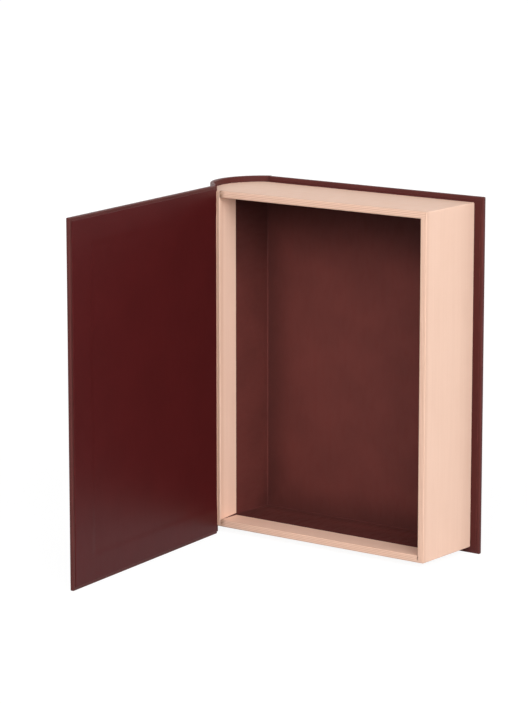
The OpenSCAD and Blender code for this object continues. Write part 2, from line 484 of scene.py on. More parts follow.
def over_rim(p, middle, axis, edge, limit):
    """Distance over a page paper's folds: above 0 down its outside, below 0 over rim and turn-in.

    A face whose middle lies further in than the limit is part of the turn-in.
    """
    depth = abs(edge - getattr(p, axis))
    behind_rim = p.y - RIM_Y
    turned_in = abs(edge - getattr(middle, axis)) > limit
    return -depth - behind_rim if turned_in else behind_rim - depth


def spine_arc(sizes):
    """Centre and outer radius of the spine's arc."""
    shut_inner_y = HINGE.y + COVER_T - COVER_PAPER_T
    centre_y = (COVER_Y + shut_inner_y) / 2 + sizes.spine_lean
    bulge = HINGE.x - SPINE_X
    half = centre_y - HINGE.y
    radius = (half * half + bulge * bulge) / (2 * bulge)
    return Vector((HINGE.x - bulge + radius, centre_y, 0)), radius


def add_round_end(bm, sizes, z, inner_z):
    """Adds the round part of an end panel, with its edge folded down beside the spine."""
    centre, radius = spine_arc(sizes)
    radius -= COVER_T + sizes.spine_fit / 2
    front = centre.y - (RIM_Y + PAGE_PAPER_T)
    back = BACK_Y - centre.y
    start = bm.verts.new((centre.x - math.sqrt(radius**2 - front**2), centre.y - front, z))
    angle = math.asin(front / radius) + math.asin(back / radius)
    bmesh.ops.spin(
        bm, geom=[start], cent=(centre.x, centre.y, z), axis=(0, 0, 1), dvec=(0, 0, 0),
        angle=-angle, steps=sizes.spine_steps)
    arc = [v for v in bm.verts if v.co.x < TRAY_X + TINY and near(v.co.z, z)]
    arc.sort(key=lambda v: v.co.y)
    fold_y = RIM_Y + sizes.page_fold
    corners = [(INNER_X, BACK_Y), (INNER_X, fold_y), (TRAY_X, fold_y)]
    bm.faces.new(arc + [bm.verts.new((x, y, z)) for x, y in corners])
    bmesh.ops.remove_doubles(bm, verts=bm.verts[:], dist=TINY)

    def on_arc(p):
        return near(math.hypot(p.x - centre.x, p.y - centre.y), radius) and near(p.z, z)

    pull(bm, edges_where(bm, on_arc), (0, 0, inner_z - z))
    fold_edges(bm, edges_where(bm, on_arc), sizes.end_fold, sizes.fold_steps)


def end_paper(sizes, skin, at_head):
    """Head or tail paper: outer sheet with its round end, rim and the part turned in."""
    bm = skin.copy()
    edge_z = HEAD_Z if at_head else TAIL_Z
    inner_z = INNER_HEAD_Z if at_head else INNER_TAIL_Z
    out = 1 if at_head else -1
    fore_x = FORE_X - sizes.page_fold - sizes.seam
    rim_x = INNER_X + sizes.rim_seam
    cut_z(bm, inner_z)
    cut_x(bm, fore_x, rim_x)
    drop(bm, lambda c: (c.z - inner_z) * out < -TINY)
    drop(bm, lambda c: c.x > fore_x)
    drop(bm, lambda c: c.x < rim_x and c.y < RIM_Y + sizes.page_fold)
    drop(bm, lambda c: c.x < INNER_X)
    if not at_head:
        lap_z = TAIL_Z + sizes.tail_lap - sizes.seam
        cut_z(bm, lap_z)
        drop(bm, lambda c: c.x > FORE_INNER_X and c.z > lap_z)
    add_round_end(bm, sizes, edge_z, inner_z)
    unfold(bm, lambda p: p.x, lambda p, middle: over_rim(p, middle, "z", edge_z, RIM_W / 2))
    return bm


def fore_edge_paper(sizes, skin):
    """Fore-edge paper: outer sheet, rim over the tail rim's end, and the part turned in."""
    bm = skin.copy()
    seam_x = FORE_X - sizes.page_fold
    low_z = TAIL_Z + sizes.tail_lap
    high_z = INNER_HEAD_Z - sizes.seam
    cut_x(bm, FORE_INNER_X, seam_x)
    cut_z(bm, high_z, low_z)
    drop(bm, lambda c: c.x < FORE_INNER_X - TINY)
    drop(bm, lambda c: c.x < seam_x and c.z > high_z)
    drop(bm, lambda c: c.x < seam_x and c.z < low_z)
    unfold(bm, lambda p: p.z, lambda p, middle: over_rim(p, middle, "x", FORE_X, RIM_W / 2))
    return bm


def spine_side_paper(sizes, skin):
    """Spine-side paper: narrow rim over the full height and the part turned in."""
    bm = skin.copy()
    cut_x(bm, INNER_X)
    drop(bm, lambda c: c.x > INNER_X + TINY)
    drop(bm, lambda c: c.y > RIM_Y + sizes.page_fold and (c.z > INNER_HEAD_Z or c.z < INNER_TAIL_Z))
    start = Vector((INNER_X, RIM_Y + sizes.slit_start, INNER_TAIL_Z))
    up = Vector((0, -sizes.slit, TURN_Y - RIM_Y - sizes.slit_start)).normalized()
    cut(bm, start, up, [f for f in bm.faces if near(f.calc_center_median().x, INNER_X)])
    drop(bm, lambda c: near(c.x, INNER_X) and (c - start).dot(up) < 0)
    spine_outer = spine_end(sizes, 0)
    spine_inner = spine_end(sizes, COVER_T)
    share = (RIM_Y - spine_outer.y) / (spine_inner.y - spine_outer.y)
    lap_x = spine_outer.lerp(spine_inner, share).x
    pull(bm, edges_where(bm, lambda p: near(p.x, TRAY_X)), (lap_x - TRAY_X, 0, 0))
    lap = edges_where(bm, lambda p: near(p.x, lap_x))
    pull(bm, lap, (-sizes.hinge_lap / 5, -sizes.hinge_lap, 0))
    bend = upright_edges(bm, Vector((lap_x, RIM_Y, 0)))
    fold_edges(bm, bend, sizes.end_fold, FEW_STEPS)
    limit = RIM_SHARE * SIDE_RIM_W
    unfold(bm, lambda p: p.z, lambda p, middle: over_rim(p, middle, "x", TRAY_X, limit))
    return bm


# Lining inside the tray

def lining_skin(sizes):
    """The tray's inside behind the turned-in page paper, with soft corners."""
    bm = bmesh.new()
    rise = sizes.lining_rise
    low = Vector((INNER_X + rise, TURN_Y - sizes.lining_lap, INNER_TAIL_Z + rise))
    high = Vector((FORE_INNER_X - rise, FLOOR_Y, INNER_HEAD_Z - rise))
    box_of(bm, low, high)
    drop(bm, lambda c: near(c.y, low.y))
    fold_edges(bm, bent(bm.edges), sizes.lining_bend, sizes.fold_steps)
    bmesh.ops.reverse_faces(bm, faces=bm.faces[:])
    return bm


def side_lining(sizes, skin, at_fore):
    """Lining of the fore-edge or spine-side wall, with the bends in its corners."""
    bm = skin.copy()
    reach = sizes.lining_rise + sizes.lining_bend
    limit = FORE_INNER_X - reach if at_fore else INNER_X + reach
    cut_x(bm, limit)
    drop(bm, lambda c: c.x < limit - TINY if at_fore else c.x > limit + TINY)
    if not at_fore:
        # A dark strip behind the slit stands in for the slit's shade
        add_dark_slit_backing(bm, sizes)
    unfold(bm, lambda p: p.z, lambda p, middle: p.y)
    return bm


def add_dark_slit_backing(bm, sizes):
    """Adds a strip of dark lining behind the slit in the tray's lower corner, so that the slit shows
    dark: painted shade.
    """
    x = INNER_X - STRIP_DEPTH_SHARE * sizes.page_sheet
    low = Vector((x, RIM_Y + sizes.slit_start / 2, INNER_TAIL_Z - sizes.page_sheet))
    high = Vector((x, TURN_Y, INNER_TAIL_Z + 2 * sizes.slit))
    add_sheet(bm, (low + high) / 2, "Y", high.z - low.z, high.y - low.y)


def end_lining(sizes, skin, at_head):
    """Lining of the head or tail wall, between the side walls' bends."""
    bm = skin.copy()
    reach = sizes.lining_rise + sizes.lining_bend
    limit = INNER_HEAD_Z - reach if at_head else INNER_TAIL_Z + reach
    low_x = INNER_X + reach + sizes.seam
    high_x = FORE_INNER_X - reach - sizes.seam
    cut_z(bm, limit)
    cut_x(bm, low_x, high_x)
    drop(bm, lambda c: c.z < limit - TINY if at_head else c.z > limit + TINY)
    drop(bm, lambda c: not low_x < c.x < high_x)
    unfold(bm, lambda p: p.x, lambda p, middle: p.y)
    return bm


def floor_lining(sizes):
    """Lining of the tray's floor, laid over the ends of the wall linings."""
    bm = bmesh.new()
    inset = sizes.lining_rise + sizes.lining_bend * FLOOR_EDGE_SHARE
    low = Vector((INNER_X + inset, 0, INNER_TAIL_Z + inset))
    high = Vector((FORE_INNER_X - inset, 0, INNER_HEAD_Z - inset))
    flat_sheet(bm, low.x, high.x, low.z, high.z, FLOOR_Y - sizes.lining_rise)
    unfold(bm, lambda p: p.x, lambda p, middle: p.z)
    return bm


def flat_sheet(bm, low_x, high_x, low_z, high_z, y):
    """Adds a flat rectangle that faces -Y."""
    middle = ((low_x + high_x) / 2, y, (low_z + high_z) / 2)
    add_sheet(bm, middle, "X", high_x - low_x, high_z - low_z)


# Covers, laid out flat: X from the hinge edge, Y from the inside out, Z from tail to head

def back_cover_place():
    return Matrix.Translation((COVER_X, COVER_Y, 0))


def front_cover_place():
    """From the flat layout to the open front cover: laid shut, then swung about the hinge line."""
    shut_inner_y = HINGE.y + COVER_T - COVER_PAPER_T
    shut = Matrix.Translation((COVER_X, shut_inner_y, 0)) @ Matrix.Diagonal((1, -1, 1, 1))
    hinge_line = Matrix.Translation((HINGE.x, HINGE.y, 0))
    swing = hinge_line @ Matrix.Rotation(-OPEN_ANGLE, 4, "Z") @ hinge_line.inverted()
    return swing @ shut


def move_to(bm, matrix):
    """Moves a flat layout to its place, with its normals kept outwards."""
    bmesh.ops.transform(bm, matrix=matrix, verts=bm.verts[:])
    if matrix.determinant() < 0:
        bmesh.ops.reverse_faces(bm, faces=bm.faces[:])


def cover_paper(sizes):
    """Paper wrapped round a cover's card on three sides and turned in."""
    bm = bmesh.new()
    box_of(bm, Vector((0, 0, 0)), Vector((COVER_W, COVER_T, CASE_H)))
    drop(bm, lambda c: near(c.x, 0))
    fold_edges(bm, bent(bm.edges), sizes.cover_fold, sizes.fold_steps)
    fore_x = COVER_W - sizes.fore_turn_in
    cut_x(bm, fore_x)
    cut_z(bm, TURN_IN, CASE_H - TURN_IN)
    drop(bm, lambda c: near(c.y, 0) and c.x < fore_x and TURN_IN < c.z < CASE_H - TURN_IN)
    unfold(bm, lambda p: p.x, lambda p, middle: p.z + (0 if middle.y > COVER_T / 2 else CASE_H))
    return bm


def endpaper(sizes, over_hinge_edge):
    """Paper pasted inside a cover: it lies on the turned-in edges and sinks to the card past them."""
    bm = bmesh.new()
    ramp = sizes.endpaper_ramp
    high_x = COVER_W - ENDPAPER_REVEAL
    flat_sheet(bm, 0, high_x, ENDPAPER_REVEAL, CASE_H - ENDPAPER_REVEAL, -ENDPAPER_T)
    fore_x = COVER_W - sizes.fore_turn_in
    sunk_x = fore_x - ramp
    low_z = TURN_IN + ramp
    high_z = CASE_H - TURN_IN - ramp
    cut_x(bm, fore_x, sunk_x)
    cut_z(bm, TURN_IN, low_z, high_z, CASE_H - TURN_IN)

    def is_sunk(p):
        return p.x < sunk_x + TINY and low_z - TINY < p.z < high_z + TINY

    sunk = [v for v in bm.verts if is_sunk(v.co)]
    bmesh.ops.translate(bm, verts=sunk, vec=(0, sizes.endpaper_sink, 0))
    fold_edges(bm, bent(bm.edges), ramp * RAMP_BEND_SHARE, FEW_STEPS, rubs=False)
    highlight_endpaper_edges(bm, sizes, high_x)
    if over_hinge_edge:
        ends = [e for e in edges_where(bm, lambda p: near(p.x, 0)) if e.is_boundary]
        for vert in verts_of(bmesh.ops.extrude_edge_only(bm, edges=ends)):
            vert.co.y = COVER_T - 2 * COVER_PAPER_T
        lip = bent(edges_where(bm, lambda p: near(p.x, 0)), SQUARE_BEND)
        fold_edges(bm, lip, sizes.cover_fold, sizes.fold_steps)
    unfold(bm, lambda p: p.x, lambda p, middle: p.z)
    return bm


def highlight_endpaper_edges(bm, sizes, high_x):
    """Marks the endpaper's outer edges to take a painted highlight line: widest at the fore-edge."""
    edge_x = high_x - sizes.highlight_edge
    low_z = ENDPAPER_REVEAL + sizes.highlight_edge / 4
    high_z = CASE_H - low_z
    cut_x(bm, edge_x)
    cut_z(bm, low_z, high_z)
    fold = bm.faces.layers.int[FOLD]
    for face in bm.faces:
        middle = face.calc_center_median()
        face[fold] = int(middle.x > edge_x or not low_z < middle.z < high_z)


# Round spine and joints

def spine_turns(sizes):
    """Turns of the spine card's front and back ends about the arc's centre, from -X to +Y."""
    centre, radius = spine_arc(sizes)
    hinge_turn = math.acos((centre.x - HINGE.x) / radius)
    back_turn = math.acos((centre.x - COVER_X + sizes.back_groove) / (radius - COVER_T))
    return sizes.board_to_hinge / radius - hinge_turn, back_turn


def spine_end(sizes, depth, at_back=False):
    """The point at an end of the spine's card, a depth under its outer face."""
    centre, radius = spine_arc(sizes)
    front_turn, back_turn = spine_turns(sizes)
    turn = back_turn if at_back else front_turn
    reach = radius - depth
    return Vector((centre.x - reach * math.cos(turn), centre.y + reach * math.sin(turn), 0))


def spine_paper(sizes):
    """Paper round the curved spine card, turned in at head and tail and over the front end."""
    bm = bmesh.new()
    outer = spine_end(sizes, 0)
    inner = spine_end(sizes, COVER_T)
    outline = [
        (inner, TURN_IN), (inner, 0), (outer, 0),
        (outer, CASE_H), (inner, CASE_H), (inner, CASE_H - TURN_IN)]
    verts = [bm.verts.new((p.x, p.y, z)) for p, z in outline]
    chain = [bm.edges.new(pair) for pair in zip(verts, verts[1:])]
    centre, radius = spine_arc(sizes)
    front_turn, back_turn = spine_turns(sizes)
    bmesh.ops.spin(
        bm, geom=chain, cent=(centre.x, centre.y, 0), axis=(0, 0, 1), dvec=(0, 0, 0),
        angle=front_turn - back_turn, steps=sizes.spine_steps)
    fold_edges(bm, bent(bm.edges, SQUARE_BEND), sizes.cover_fold, sizes.fold_steps)
    end_normal = (outer - inner).cross(Vector((0, 0, 1)))
    end = edges_where(bm, lambda p: abs((p - outer).dot(end_normal)) < TINY**2)
    tips = [v for v in bm.verts if sum(e in end for e in v.link_edges) == 1]
    bmesh.ops.edgeloop_fill(bm, edges=[*end, bm.edges.new(tips)])
    unfold(
        bm, lambda p: radius * math.atan2(p.y - centre.y, centre.x - p.x), lambda p, middle: p.z)
    return bm


def joint_of(points, bends, radius, sizes):
    """Strip between the spine and a cover: a closed section, pulled up from tail to head."""
    bm = bmesh.new()
    section = bm.faces.new([bm.verts.new((p.x, p.y, 0)) for p in points])
    push(bm, [section], (0, 0, CASE_H))
    folds = [e for point in bends for e in upright_edges(bm, point)]
    fold_edges(bm, folds, radius, sizes.fold_steps)
    unfold(bm, lambda p: p.x + p.y, lambda p, middle: p.z)
    return bm


def back_joint(sizes):
    """Cloth and paper between the spine and the back cover, with a step at the outside."""
    outer = spine_end(sizes, 0, at_back=True)
    inner = spine_end(sizes, COVER_T, at_back=True)
    crease = inner.lerp(outer, sizes.crease_depth / COVER_T)
    cover_inner = Vector((COVER_X, COVER_Y + 2 * COVER_PAPER_T, 0))
    cover_outer = Vector((COVER_X, COVER_Y + COVER_T, 0))
    groove = Vector((COVER_X - sizes.back_groove, COVER_Y + COVER_T - sizes.groove_depth, 0))
    points = [inner, crease, cover_inner, cover_outer, groove, outer]
    return joint_of(points, [outer], sizes.cover_fold / 2, sizes)


def front_joint(sizes):
    """Cloth and paper from the spine's end round the hinge line to the front cover."""
    swing = front_cover_place()
    inner_y = COVER_T - sizes.joint_t
    cover_outer = swing @ Vector((0, COVER_T, 0))
    cover_inner = swing @ Vector((0, inner_y, 0))
    bend_outer = swing @ Vector((-JOINT_W, COVER_T, 0))
    bend_inner = swing @ Vector((-JOINT_W + sizes.joint_t, inner_y, 0))
    points = [
        spine_end(sizes, sizes.joint_reach), spine_end(sizes, 0), bend_outer, cover_outer,
        cover_inner, bend_inner]
    return joint_of(points, [bend_outer, bend_inner], sizes.joint_t * JOINT_BEND_SHARE, sizes)


# Materials

def add_node(tree, kind, inputs=None, **settings):
    """Adds a node, sets it up, and links or fills its inputs."""
    node = tree.nodes.new(kind)
    for name, value in settings.items():
        setattr(node, name, value)
    for key, value in (inputs or {}).items():
        if isinstance(value, bpy.types.NodeSocket):
            tree.links.new(value, node.inputs[key])
        else:
            node.inputs[key].default_value = value
    return node


def maths(tree, operation, first, *others):
    """Joins values by an operation, one after the other."""
    for other in others:
        first = add_node(tree, "ShaderNodeMath", {0: first, 1: other}, operation=operation).outputs[0]
    return first


def times(tree, a, b):
    return maths(tree, "MULTIPLY", a, b)


def mix(tree, factor, a, b):
    """Mixes two colours."""
    return add_node(tree, "ShaderNodeMix", {0: factor, 6: a, 7: b}, data_type="RGBA").outputs[2]


def layer(tree, base, mask, strength, colour):
    """Lays a colour over another by a mask."""
    return mix(tree, times(tree, mask, strength), base, colour)


def spread(tree, value, low, high, to_low=0.0, to_high=1.0):
    """Stretches a value from one range to another, smoothly and within its limits."""
    node = add_node(
        tree, "ShaderNodeMapRange", {0: value, 1: low, 2: high, 3: to_low, 4: to_high},
        interpolation_type="SMOOTHSTEP")
    return node.outputs[0]


def noise(tree, place, scale, detail=2.0):
    node = add_node(
        tree, "ShaderNodeTexNoise", {"Vector": place, "Scale": scale, "Detail": detail})
    return node.outputs["Fac"]


def stretched(tree, place, scale):
    """Stretches coordinates by a factor for each axis."""
    return add_node(tree, "ShaderNodeMapping", {"Vector": place, "Scale": scale}).outputs[0]


def axes(tree, place):
    """The three coordinates of a place, each on its own."""
    return add_node(tree, "ShaderNodeSeparateXYZ", {0: place}).outputs


def new_group(name, inputs, outputs):
    """Starts a node group; gives its tree, its inputs and the sockets that its outputs go to."""
    tree = bpy.data.node_groups.new(name, "ShaderNodeTree")
    for socket in inputs:
        kind = "NodeSocketVector" if socket == "Place" else "NodeSocketFloat"
        tree.interface.new_socket(socket, in_out="INPUT", socket_type=kind)
    for socket in outputs:
        tree.interface.new_socket(socket, in_out="OUTPUT", socket_type="NodeSocketFloat")
    start = tree.nodes.new("NodeGroupInput")
    end = tree.nodes.new("NodeGroupOutput")
    return tree, start.outputs, end.inputs


def grain_group():
    """Paper's fibres, its slow change of shade and the patches where it has been rubbed."""
    tree, given, made = new_group("Paper grain", ["Place", "Fibre scale"], ["Fibre", "Cloud", "Rub"])
    long_place = stretched(tree, given["Place"], (1, 2.2, 1))
    fine = noise(tree, long_place, given["Fibre scale"], 3)
    tree.links.new(fine, made["Fibre"])
    clouds = noise(tree, given["Place"], 28, 4)
    tree.links.new(spread(tree, clouds, 0.3, 0.7), made["Cloud"])
    rub = noise(tree, stretched(tree, given["Place"], (1, 0.35, 1)), 220, 4)
    tree.links.new(spread(tree, rub, 0.35, 0.75), made["Rub"])
    return tree


def wear_group():
    """Where folds are rubbed, and where the endpaper's edges take a painted highlight: a broken line
    along each.
    """
    tree, given, made = new_group("Fold wear", ["Place", "Wear"], ["Mask"])
    patches = noise(tree, given["Place"], 90, 5)
    broken = spread(tree, patches, 0.42, 0.68, 0.15, 1)
    tree.links.new(times(tree, broken, given["Wear"]), made["Mask"])
    return tree


def page_lines_group():
    """Fine lines like the edges of a book's pages, along the folds and strongest near them."""
    tree, given, made = new_group("Page lines", ["Place"], ["Line", "Streak", "Band"])
    place = given["Place"]
    wave = add_node(
        tree, "ShaderNodeTexWave",
        {"Vector": stretched(tree, place, (0.02, 1, 1)), "Scale": 251.0, "Distortion": 1.6,
         "Detail": 2.0, "Detail Scale": 0.8},
        wave_type="BANDS", bands_direction="Y").outputs["Fac"]
    across = axes(tree, place)["Y"]
    outside = spread(tree, across, *LINES_OUTSIDE, 1, 0)
    inside = spread(tree, across, *LINES_TURNED_IN, 0, 1)
    near_rim = times(tree, outside, inside)
    narrow = maths(tree, "POWER", wave, 2)
    tree.links.new(times(tree, narrow, near_rim), made["Line"])
    fine = noise(tree, stretched(tree, place, (0.012, 1, 1)), 1500, 2)
    tree.links.new(spread(tree, fine, 0.36, 0.64), made["Streak"])
    wide = noise(tree, stretched(tree, place, (0.006, 0.16, 1)), 1500, 1)
    tree.links.new(spread(tree, wide, 0.35, 0.65), made["Band"])
    return tree


def rim_darkening_group():
    """A darker brown on the rims: at the ends by the spine side, and along the fold on which the box
    stands.
    """
    tree, given, made = new_group("Rim soil", ["Place"], ["Soil"])
    x, y, z = axes(tree, given["Place"])
    start = maths(tree, "GREATER_THAN", x, INNER_X)
    end = times(tree, start, spread(tree, x, INNER_X, INNER_X + DARK_ALONG_END, 1, 0))
    low = spread(tree, z, TAIL_Z, TAIL_Z + DARK_UP_TAIL, 0.9, 0)
    foot = times(tree, low, spread(tree, x, INNER_X, INNER_X + DARK_ALONG_TAIL, 1, 0))
    front = spread(tree, y, *(RIM_Y + depth for depth in DARK_ROUND_RIM), 1, 0)
    streaks = noise(tree, stretched(tree, given["Place"], (0.2, 1, 1)), 900)
    broken = times(tree, front, spread(tree, streaks, 0.35, 0.65, 0.4, 1))
    tree.links.new(times(tree, maths(tree, "MAXIMUM", end, foot), broken), made["Soil"])
    return tree


def painted_tray_shade_group():
    """Painted shade in the tray: a little in its corners and along the tail wall, most under the head
    wall.
    """
    tree, given, made = new_group("Corner grime", ["Place"], ["Grime"])
    x, y, z = axes(tree, given["Place"])
    to_fore = maths(tree, "SUBTRACT", FORE_INNER_X, x)
    side = maths(tree, "MINIMUM", maths(tree, "SUBTRACT", x, INNER_X), to_fore)
    from_floor = maths(tree, "SUBTRACT", FLOOR_Y, y)
    shift = spread(tree, side, *SHADE_OFF_WALL, SIDE_WALL_SHIFT, 0)
    depth = maths(tree, "ADD", from_floor, shift)
    rise = maths(tree, "SUBTRACT", z, INNER_TAIL_Z)
    tail = maths(tree, "ADD", rise, from_floor)
    head = maths(tree, "SUBTRACT", INNER_HEAD_Z, z)
    end = maths(tree, "MINIMUM", tail, head)
    nearer = maths(tree, "MINIMUM", side, depth)
    farther = maths(tree, "MAXIMUM", side, depth)
    second = maths(tree, "MAXIMUM", nearer, maths(tree, "MINIMUM", farther, end))
    corner = spread(tree, second, 0, SHADE_IN_CORNER, 0.6, 0)
    reach = times(tree, head, spread(tree, side, *SHADE_OFF_WALL, 0.62, 1))
    top = spread(tree, reach, 0, SHADE_UNDER_HEAD, 1, 0)
    on_tail = spread(tree, rise, *SHADE_OFF_WALL, 0.65, 0)
    foot = times(tree, on_tail, spread(tree, from_floor, 0, SHADE_ON_TAIL))
    tree.links.new(maths(tree, "MAXIMUM", corner, top, foot), made["Grime"])
    return tree


def crease_group():
    """Fine creases that run from head to tail, where a joint has been bent."""
    tree, given, made = new_group("Creases", ["Place"], ["Crease"])
    creases = noise(tree, stretched(tree, given["Place"], (1, 0.03, 1)), 900, 3)
    tree.links.new(spread(tree, creases, 0.44, 0.62), made["Crease"])
    return tree


def use_group(tree, group, inputs):
    return add_node(tree, "ShaderNodeGroup", inputs, node_tree=group).outputs


def new_material(name, gloss=0.5):
    """Starts a material; gives its tree and its shader."""
    material = bpy.data.materials.new(name)
    material.use_nodes = True
    shader = material.node_tree.nodes["Principled BSDF"]
    shader.inputs["Specular IOR Level"].default_value = gloss
    return material.node_tree, shader


def paper_place(tree):
    return add_node(tree, "ShaderNodeUVMap", uv_map=UV).outputs[0]


def object_place(tree):
    return add_node(tree, "ShaderNodeTexCoord").outputs["Object"]


def fold_wear(tree, place, groups):
    """Mask of the folds where a piece is rubbed, and of the endpaper's edges that take a painted
    highlight.
    """
    marked = add_node(tree, "ShaderNodeAttribute", attribute_name=WEAR).outputs["Fac"]
    return use_group(tree, groups["wear"], {"Place": place, "Wear": marked})["Mask"]


def rgba(colour, light=1.0):
    return (*(min(c * light, 1.0) for c in colour), 1.0)


def dress(tree, shader, base, roughness, height, relief):
    """Gives a shader its colour and roughness, and a relief in metres."""
    tree.links.new(base, shader.inputs["Base Color"])
    tree.links.new(roughness, shader.inputs["Roughness"])
    bump = add_node(
        tree, "ShaderNodeBump", {"Height": height, "Distance": relief, "Strength": 1.0})
    tree.links.new(bump.outputs[0], shader.inputs["Normal"])


def wrapping_material(
        name, colour, groups, roughness, gloss, wear_and_highlight=1.9, fibre=1600, clouding=0.12, relief=0.02,
        uneven=1.0, creased=0.0, painted_shade=0.0, on_node=False):
    """Dyed paper: clouded colour, fibres in relief, rubbed folds, painted highlights on edges and
    painted shade in the tray.
    """
    tree, shader = new_material(name, gloss)
    place = object_place(tree) if on_node else paper_place(tree)
    grain = use_group(tree, groups["grain"], {"Place": place, "Fibre scale": fibre})
    base = mix(tree, grain["Cloud"], rgba(colour, 1 - clouding), rgba(colour, 1 + clouding))
    speckle = spread(tree, grain["Fibre"], 0.35, 0.7)
    base = layer(tree, base, speckle, SPECKLE, rgba(colour, SPECKLE_SHADE))
    wear = fold_wear(tree, place, groups)
    base = layer(tree, base, wear, FOLD_WEAR, rgba(colour, wear_and_highlight))
    # Painted shade in the tray's corners, along the tail wall and under the head wall
    if painted_shade:
        tray_shade = use_group(tree, groups["tray_shade"], {"Place": object_place(tree)})["Grime"]
        base = layer(tree, base, tray_shade, painted_shade, rgba(colour, TRAY_SHADE_TONE))
    rough = spread(tree, grain["Rub"], 0, 1, roughness - 0.05 * uneven, roughness + 0.06 * uneven)
    rough = maths(tree, "ADD", rough, times(tree, wear, WEAR_ROUGHNESS))
    height = grain["Fibre"]
    if creased:
        crease = use_group(tree, groups["creases"], {"Place": place})["Crease"]
        height = maths(tree, "SUBTRACT", height, times(tree, crease, creased))
    dress(tree, shader, base, rough, height, relief * MM)


def page_material(name, light, colours, groups):
    """Pale paper printed with page lines, with a darker brown on the rims near the spine side."""
    tree, shader = new_material(name, gloss=0.2)
    place = paper_place(tree)
    lines = use_group(tree, groups["lines"], {"Place": place})
    grain = use_group(tree, groups["grain"], {"Place": place, "Fibre scale": 1300.0})
    page = rgba(colours.page, light)
    line = rgba(colours.page_line, light)
    marks = [times(tree, lines[mark], strength) for mark, strength in PAGE_MARKS.items()]
    base = mix(tree, maths(tree, "ADD", *marks), page, line)
    base = layer(tree, base, grain["Cloud"], PAGE_CLOUD, line)
    wear = fold_wear(tree, place, groups)
    base = layer(tree, base, wear, PAGE_WEAR, rgba(colours.page_line, 0.8))
    # Darker brown on the rims' ends by the spine side and along the tail fold
    rim_darkening = use_group(tree, groups["rim_darkening"], {"Place": object_place(tree)})["Soil"]
    base = layer(tree, base, rim_darkening, PAGE_DARKENING, rgba(colours.rim_darkening))
    rough = spread(tree, grain["Rub"], 0, 1, 0.5, 0.62)
    height = maths(tree, "ADD", lines["Line"], grain["Fibre"])
    dress(tree, shader, base, rough, height, 0.012 * MM)


def card_material(colours, groups):
    """Grey card with short fibres and dark specks."""
    tree, shader = new_material("grey card")
    place = object_place(tree)
    grain = use_group(tree, groups["grain"], {"Place": place, "Fibre scale": 900.0})
    base = mix(tree, grain["Cloud"], rgba(colours.card, 0.85), rgba(colours.card, 1.15))
    specks = spread(tree, noise(tree, place, 700, 1), 0.66, 0.74)
    base = mix(tree, specks, base, rgba(colours.card, 0.4))
    rough = spread(tree, grain["Rub"], 0, 1, 0.8, 0.95)
    dress(tree, shader, base, rough, grain["Fibre"], 0.05 * MM)


def make_materials():
    """Makes all the finishes."""
    colours = bpy.context.scene.book_box_colours
    groups = {
        "grain": grain_group(), "wear": wear_group(), "lines": page_lines_group(),
        "creases": crease_group(), "rim_darkening": rim_darkening_group(), "tray_shade": painted_tray_shade_group()}
    case = dict(roughness=0.42, gloss=0.12)
    wrapping_material("cover paper", colours.cover, groups, wear_and_highlight=1.45, **case)
    wrapping_material("joint paper", colours.cover, groups, relief=0.03, creased=0.8, **case)
    # On the endpapers the lightened edges are a painted highlight line
    ends = dict(roughness=0.4, gloss=0.12, wear_and_highlight=2.4, clouding=0.05, relief=0.008, uneven=0.4)
    wrapping_material("end paper", colours.endpaper, groups, **ends)
    wrapping_material("back end paper", colours.back_endpaper, groups, **ends)
    # The lining's slight lightening at its bends is a painted highlight in the tray's corners
    lining = dict(roughness=0.72, gloss=0.25, wear_and_highlight=1.05, fibre=1000, clouding=0.1, relief=0.04)
    # The tray's lining takes the painted shade
    wrapping_material("lining paper", colours.lining, groups, painted_shade=0.8, **lining)
    wrapping_material("spine lining", colours.lining, groups, on_node=True, **lining)
    page_material("page paper", 1.0, colours, groups)
    # A copy of the page paper painted lighter for the spine-side paper inside the tray: painted light in
    # place of light bounced onto it
    page_material("paler page paper", 1.08, colours, groups)
    card_material(colours, groups)


def finish(name):
    """A finish by its name; the first call makes them all."""
    if name not in bpy.data.materials:
        make_materials()
    return bpy.data.materials[name]


# Operators

class BOOKBOX_OT_page_papers(bpy.types.Operator):
    """Wrap the tray's walls and rims in page paper"""
    bl_idname = "book_box.page_papers"
    bl_label = "Page papers"
    bl_options = {"REGISTER", "UNDO"}

    def execute(self, context):
        sizes = context.scene.book_box_sizes
        skin = tray_skin(sizes)
        papers = {
            "head_page": (end_paper(sizes, skin, True), (0, 0, 1), "head_page_paper"),
            "tail_page": (end_paper(sizes, skin, False), (0, 0, -1), "tail_page_paper"),
            "fore_edge_page": (fore_edge_paper(sizes, skin), (1, 0, 0), "fore_edge_page_paper"),
            "spine_side_page": (spine_side_paper(sizes, skin), (1, 0, 0), "spine_side_page_paper")}
        for name, (bm, direction, node) in papers.items():
            # The spine-side paper takes the copy painted lighter, as painted light
            paper = finish("paler page paper" if name == "spine_side_page" else "page paper")
            piece_of(bm, name, paper, direction, sizes.page_sheet, "box", [node])
        skin.free()
        return {"FINISHED"}


